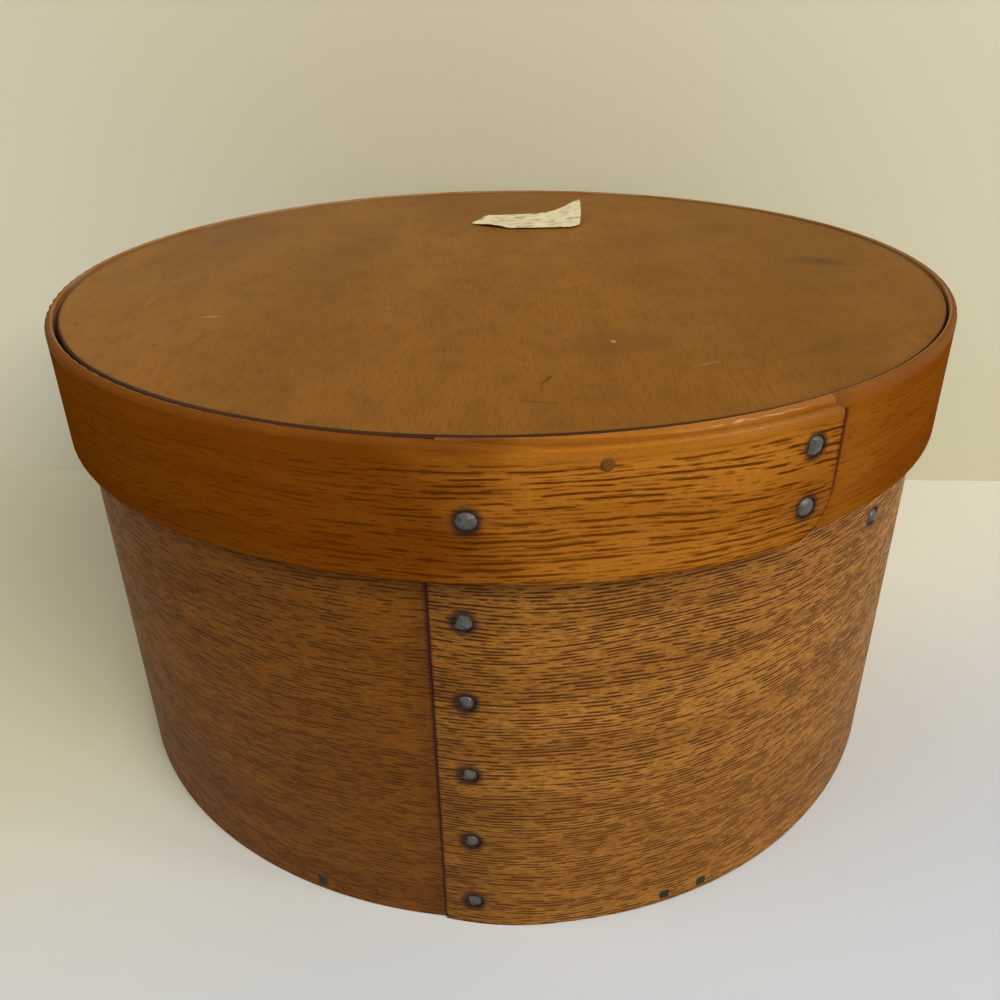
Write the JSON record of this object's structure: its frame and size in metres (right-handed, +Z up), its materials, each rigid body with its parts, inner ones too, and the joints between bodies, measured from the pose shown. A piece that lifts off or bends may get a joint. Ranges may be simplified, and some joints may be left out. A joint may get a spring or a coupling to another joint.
{
  "type": "round bentwood pantry box",
  "caption": "Round bentwood pantry box: lapped oak strips bent round a bottom board and a lid board, closed with clinched iron tacks, with a lift-off lid.",
  "frame": {"origin": "middle of the underside, on the surface that the box stands on", "axes": "+Z up out of the lid, front with the upright seam of the side band towards -Y, +X to the right seen from the front"},
  "size_m": [0.2539, 0.2552, 0.1446],
  "materials": {
    "side_oak": "satin varnish over open oak grain",
    "lid_oak": "satin varnish over open oak grain",
    "lid_board_wood": "worn satin varnish, close grain",
    "bottom_pine": "bare planed wood",
    "peg_wood": "varnished end grain",
    "tack_iron": "dull worn iron",
    "nail_iron": "dark rusted iron",
    "label_paper": "aged matt paper"
  },
  "bodies": {
    "box": {"bottom_board": "bottom_pine", "side_band": "side_oak", "side_end_tack": "tack_iron", "side_tack_1": "tack_iron", "side_tack_2": "tack_iron", "side_tack_3": "tack_iron", "side_tack_4": "tack_iron", "side_tack_5": "tack_iron", "base_nail_1": "nail_iron", "base_nail_2": "nail_iron", "base_nail_3": "nail_iron", "base_nail_4": "nail_iron", "base_nail_5": "nail_iron", "base_nail_6": "nail_iron"},
    "lid": {"lid_board": "lid_board_wood", "lid_band": "lid_oak", "lid_end_tack": "tack_iron", "lid_tack_1": "tack_iron", "lid_tack_2": "tack_iron", "lid_peg_1": "peg_wood", "lid_peg_2": "peg_wood", "lid_peg_3": "peg_wood", "lid_peg_4": "peg_wood", "paper_label": "label_paper"}
  },
  "joints": [
    {"name": "lid_lift", "type": "slide", "parent": "box", "child": "lid", "axis": [0, 0, 1], "range_m": [0, 0.15]}
  ]
}
